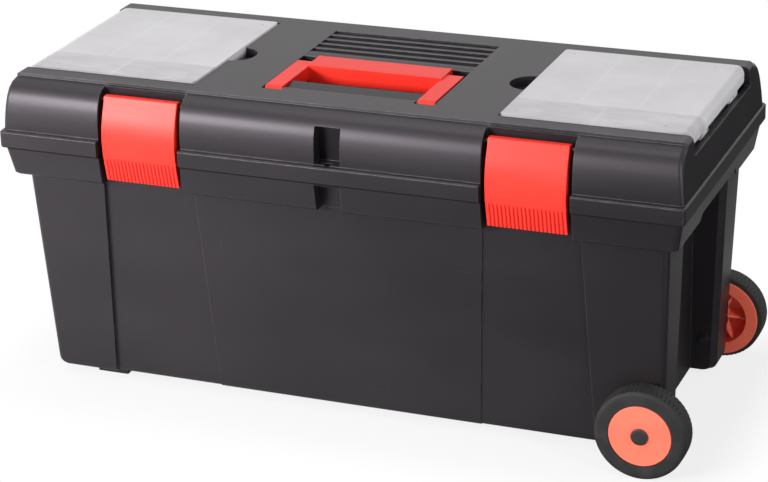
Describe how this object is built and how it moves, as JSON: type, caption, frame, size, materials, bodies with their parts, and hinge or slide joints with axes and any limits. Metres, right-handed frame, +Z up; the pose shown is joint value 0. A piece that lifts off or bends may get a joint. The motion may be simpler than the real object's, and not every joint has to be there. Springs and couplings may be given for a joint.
{
  "type": "rolling toolbox",
  "caption": "Moulded plastic rolling toolbox with a domed hinged lid, folding carry handle, front latches, clear-covered organisers, a lift-out tray and wheels at one end.",
  "frame": {"origin": "middle of the bounding box on the floor, where the wheels and the foot pads stand", "axes": "+X along the box towards the wheels, -Y towards the latches, +Z up"},
  "size_m": [0.7178, 0.3314, 0.3346],
  "materials": {
    "black_plastic": "satin moulded polypropylene, fine grain",
    "tray_plastic": "satin moulded polypropylene",
    "red_plastic": "semi-gloss moulded plastic",
    "wheel_plastic": "semi-gloss moulded plastic",
    "frosted_plastic": "frosted translucent plastic",
    "tyre_rubber": "matt rubber",
    "zinc_steel": "zinc plated",
    "cap_plastic": "satin moulded plastic"
  },
  "bodies": {
    "tub": {"tub": "black_plastic", "hinge_pin_left": "zinc_steel", "hinge_pin_right": "zinc_steel", "axle_front": "zinc_steel", "axle_back": "zinc_steel", "axle_clip_front": "zinc_steel", "axle_clip_back": "zinc_steel", "washer_front": "zinc_steel", "washer_back": "zinc_steel"},
    "lid": {"lid": "black_plastic", "organiser_box_left": "frosted_plastic", "organiser_box_right": "frosted_plastic", "latch_pin_left": "cap_plastic", "latch_pin_right": "cap_plastic", "handle_pin_left": "zinc_steel", "handle_pin_right": "zinc_steel"},
    "latch_left": {"latch_left": "red_plastic"},
    "latch_right": {"latch_right": "red_plastic"},
    "carry_handle": {"carry_handle": "red_plastic"},
    "organiser_cover_left": {"organiser_cover_left": "frosted_plastic"},
    "organiser_cover_right": {"organiser_cover_right": "frosted_plastic"},
    "tray": {"lift_out_tray": "tray_plastic"},
    "wheel_front": {"wheel_tyre_front": "tyre_rubber", "wheel_rim_front": "wheel_plastic", "hub_cap_front": "cap_plastic"},
    "wheel_back": {"wheel_tyre_back": "tyre_rubber", "wheel_rim_back": "wheel_plastic", "hub_cap_back": "cap_plastic"}
  },
  "joints": [
    {"name": "lid_hinge", "type": "hinge", "parent": "tub", "child": "lid", "pos_m": [-0.0036, 0.16055, 0.26215], "axis": [-1, 0, 0], "range_deg": [0, 100]},
    {"name": "latch_left_hinge", "type": "hinge", "parent": "lid", "child": "latch_left", "pos_m": [-0.2046, -0.13795, 0.3177], "axis": [-1, 0, 0], "range_deg": [0, 100]},
    {"name": "latch_right_hinge", "type": "hinge", "parent": "lid", "child": "latch_right", "pos_m": [0.1974, -0.13795, 0.3177], "axis": [-1, 0, 0], "range_deg": [0, 100]},
    {"name": "carry_handle_hinge", "type": "hinge", "parent": "lid", "child": "carry_handle", "pos_m": [-0.0036, -0.08745, 0.3251], "axis": [1, 0, 0], "range_deg": [0, 95]},
    {"name": "cover_left_hinge", "type": "hinge", "parent": "lid", "child": "organiser_cover_left", "pos_m": [-0.3471, -0.00245, 0.317], "axis": [0, -1, 0], "range_deg": [0, 95]},
    {"name": "cover_right_hinge", "type": "hinge", "parent": "lid", "child": "organiser_cover_right", "pos_m": [0.3399, -0.00245, 0.317], "axis": [0, 1, 0], "range_deg": [0, 95]},
    {"name": "tray_lift", "type": "slide", "parent": "tub", "child": "tray", "axis": [0, 0, 1], "range_m": [0, 0.03]},
    {"name": "wheel_front_spin", "type": "hinge", "parent": "tub", "child": "wheel_front", "pos_m": [0.3131, -0.16325, 0.0458], "axis": [0, 1, 0], "continuous": true},
    {"name": "wheel_back_spin", "type": "hinge", "parent": "tub", "child": "wheel_back", "pos_m": [0.3131, 0.15835, 0.0458], "axis": [0, 1, 0], "continuous": true}
  ]
}
